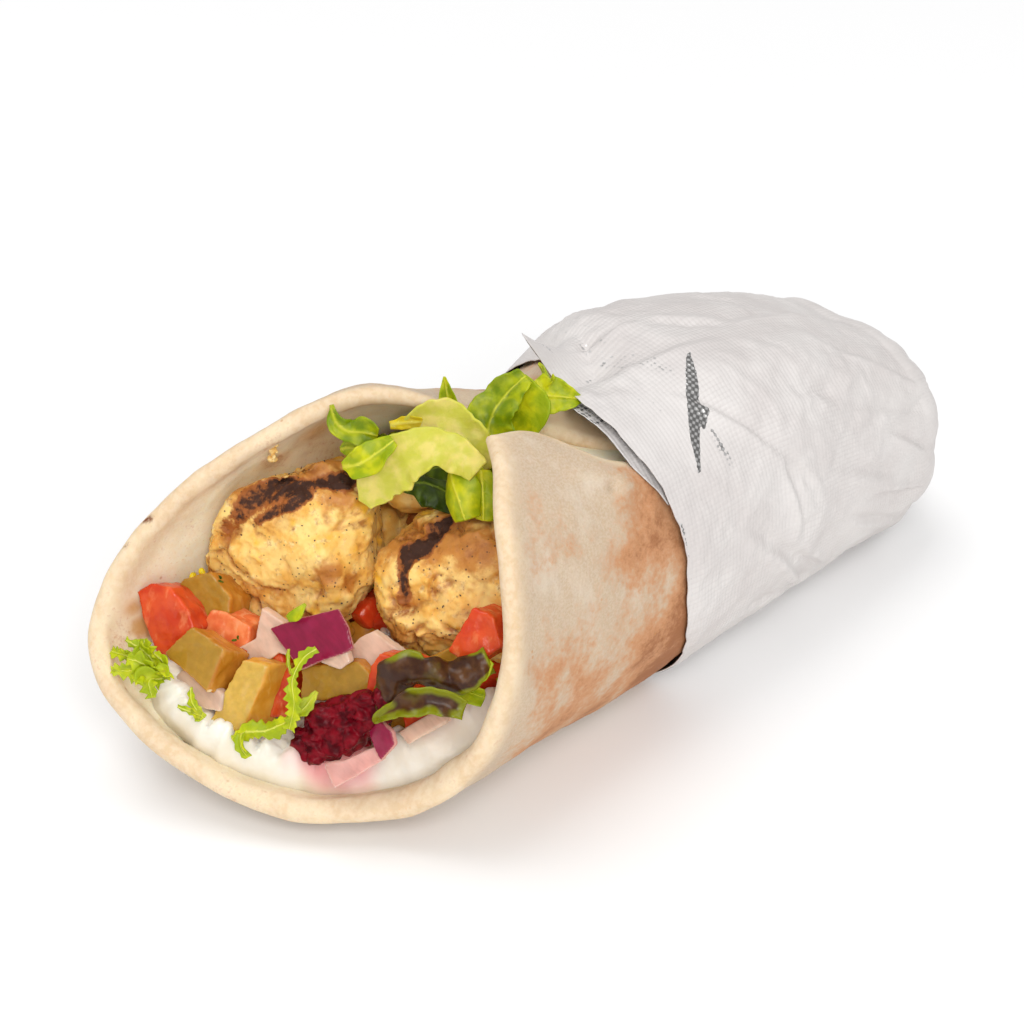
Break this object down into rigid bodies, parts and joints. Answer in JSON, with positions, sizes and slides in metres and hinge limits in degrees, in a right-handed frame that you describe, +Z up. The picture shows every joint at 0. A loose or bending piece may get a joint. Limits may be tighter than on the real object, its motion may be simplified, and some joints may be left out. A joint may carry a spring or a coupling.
{
  "type": "doner kebab sandwich",
  "caption": "Rolled flatbread wrap with grilled chicken chunks, diced salad, leaves and white sauce, its tail in a paper-faced foil wrapper.",
  "frame": {"origin": "middle of the wrap's footprint, at the height of the surface it lies on", "axes": "+X along the wrap from the open mouth towards the foil tail, +Z up, the near flap of the bread on the -Y side"},
  "size_m": [0.2222, 0.0892, 0.0863],
  "materials": {
    "bread": "soft baked dough, cream with orange-brown toasted mottling",
    "wrapper": "white paper face on aluminium foil, finely embossed, silver inside",
    "sauce": "thick white garlic sauce, lumpy and moist",
    "salad": "diced salad packed together, moist",
    "chicken": "grilled chicken, pale yellow with char stripes, oily",
    "tomato": "wet cut tomato",
    "pickle": "wet olive-brown pickled cucumber",
    "onion": "wet translucent red onion",
    "beetroot": "dark crimson, wet and glossy",
    "leaf": "fresh green salad leaf, satin",
    "red_leaf": "dark purple and green salad leaf, satin"
  },
  "bodies": {
    "root": {"beet_relish": "beetroot", "chicken_back": "chicken", "chicken_filling": "chicken", "chicken_left": "chicken", "chicken_middle": "chicken", "chicken_right": "chicken", "flatbread": "bread", "foil_wrapper": "wrapper", "frisee_base": "leaf", "frisee_left": "leaf", "frisee_strand": "leaf", "frisee_tip": "leaf", "garlic_sauce": "sauce", "green_bit": "leaf", "green_curl": "leaf", "lettuce_back": "leaf", "lettuce_bright": "leaf", "lettuce_curl": "leaf", "lettuce_dark": "leaf", "lettuce_edge": "leaf", "lettuce_filling": "leaf", "lettuce_large": "leaf", "lettuce_light": "leaf", "lettuce_rib": "leaf", "lettuce_small": "leaf", "lettuce_tip": "leaf", "lettuce_yellow": "leaf", "lollo_leaf": "red_leaf", "onion_beet": "onion", "onion_low": "onion", "onion_pale_left": "onion", "onion_pale_middle": "onion", "onion_purple": "onion", "onion_right": "onion", "onion_sauce": "onion", "onion_sliver": "onion", "pickle_back": "pickle", "pickle_front": "pickle", "pickle_left": "pickle", "pickle_middle": "pickle", "pickle_small": "pickle", "salad_filling": "salad", "tomato_cube": "tomato", "tomato_middle": "tomato", "tomato_right": "tomato", "tomato_side": "tomato", "tomato_strip": "tomato", "tomato_wedge": "tomato"}
  },
  "joints": []
}
